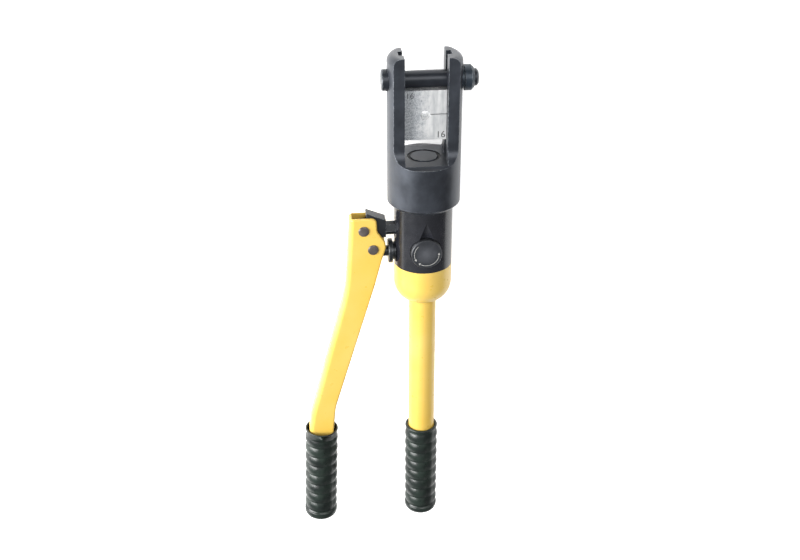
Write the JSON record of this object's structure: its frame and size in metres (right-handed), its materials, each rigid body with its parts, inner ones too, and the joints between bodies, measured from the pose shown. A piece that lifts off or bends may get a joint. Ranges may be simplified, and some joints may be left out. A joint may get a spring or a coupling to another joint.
{
  "type": "hydraulic crimping tool",
  "caption": "Hand hydraulic crimping tool: fork head with lock pin and hexagonal dies, black cylinder body, yellow pump handle and handle tube with ribbed rubber grips.",
  "frame": {"origin": "centre of the ram's face, flush in the fork's floor, on the tool's axis", "axes": "+Y along the tool's axis towards the head, +X to the right, +Z out of the front with the release knob; the tool lies on its back"},
  "size_m": [0.1759, 0.5177, 0.07],
  "materials": {
    "head_steel": "blackened, satin",
    "body_black": "black enamel, glossy",
    "black_oxide": "black oxide, satin",
    "yellow_paint": "yellow powder coat, semi-gloss",
    "die_steel": "ground and zinc plated",
    "bright_steel": "turned",
    "grip_rubber": "moulded, matt",
    "seal_rubber": "moulded, smooth",
    "seal_plastic": "turned",
    "brass": "woven wire"
  },
  "bodies": {
    "frame": {"fork_head": "head_steel", "upper_die": "die_steel", "ram_guide_ring": "seal_rubber", "pin_collar": "black_oxide", "pin_o_ring": "seal_rubber", "cylinder_body": "body_black", "release_ball": "bright_steel", "gland_nut": "black_oxide", "plunger_seal": "seal_rubber", "suction_check_ball": "bright_steel", "suction_check_spring": "bright_steel", "suction_check_screw": "bright_steel", "delivery_check_ball": "bright_steel", "delivery_check_spring": "bright_steel", "delivery_check_screw": "bright_steel", "relief_ball": "bright_steel", "relief_spring": "bright_steel", "relief_screw": "bright_steel", "fulcrum_stud": "black_oxide", "fulcrum_bracket": "black_oxide", "handle_shoulder": "yellow_paint", "handle_tube": "yellow_paint", "tube_plug": "seal_plastic", "fixed_grip": "grip_rubber", "oil_bag": "seal_rubber", "bag_clip": "bright_steel", "suction_tube": "bright_steel", "suction_filter": "brass"},
    "ram": {"ram": "bright_steel", "piston_seal": "seal_rubber", "piston_backup_ring": "seal_plastic", "return_spring": "bright_steel"},
    "lower_die": {"lower_die": "die_steel"},
    "lock_pin": {"lock_pin": "black_oxide"},
    "release": {"release_knob": "black_oxide", "release_screw": "bright_steel", "release_o_ring": "seal_rubber"},
    "handle": {"handle_channel": "yellow_paint", "moving_grip": "grip_rubber", "fulcrum_pin": "bright_steel", "fulcrum_pin_clip": "bright_steel", "plunger_pin": "bright_steel", "plunger_pin_clip": "bright_steel"},
    "plunger": {"pump_plunger": "bright_steel"}
  },
  "joints": [
    {"name": "ram_slide", "type": "slide", "parent": "frame", "child": "ram", "axis": [0, 1, 0], "range_m": [0, 0.0193], "stiffness_N_per_m": 400, "springref_m": -0.01, "deforming": ["return_spring"]},
    {"name": "lower_die_slide", "type": "slide", "parent": "frame", "child": "lower_die", "axis": [0, 1, 0], "range_m": [-0.0193, 0]},
    {"name": "lock_pin_slide", "type": "slide", "parent": "frame", "child": "lock_pin", "axis": [-1, 0, 0], "range_m": [0, 0.069]},
    {"name": "release_turn", "type": "hinge", "parent": "frame", "child": "release", "pos_m": [0, -0.0898, 0.025], "axis": [0, 0, 1], "range_deg": [-90, 180]},
    {"name": "handle_swing", "type": "hinge", "parent": "frame", "child": "handle", "pos_m": [-0.0586, -0.07255, 0], "axis": [0, 0, 1], "range_deg": [-45, 0]},
    {"name": "plunger_slide", "type": "slide", "parent": "frame", "child": "plunger", "axis": [1, 0, 0], "range_m": [-0.017, 0.0001]}
  ],
  "couplings": [
    {"joint": "plunger_slide", "follows": "handle_swing", "m_per_rad": 0.0215}
  ]
}
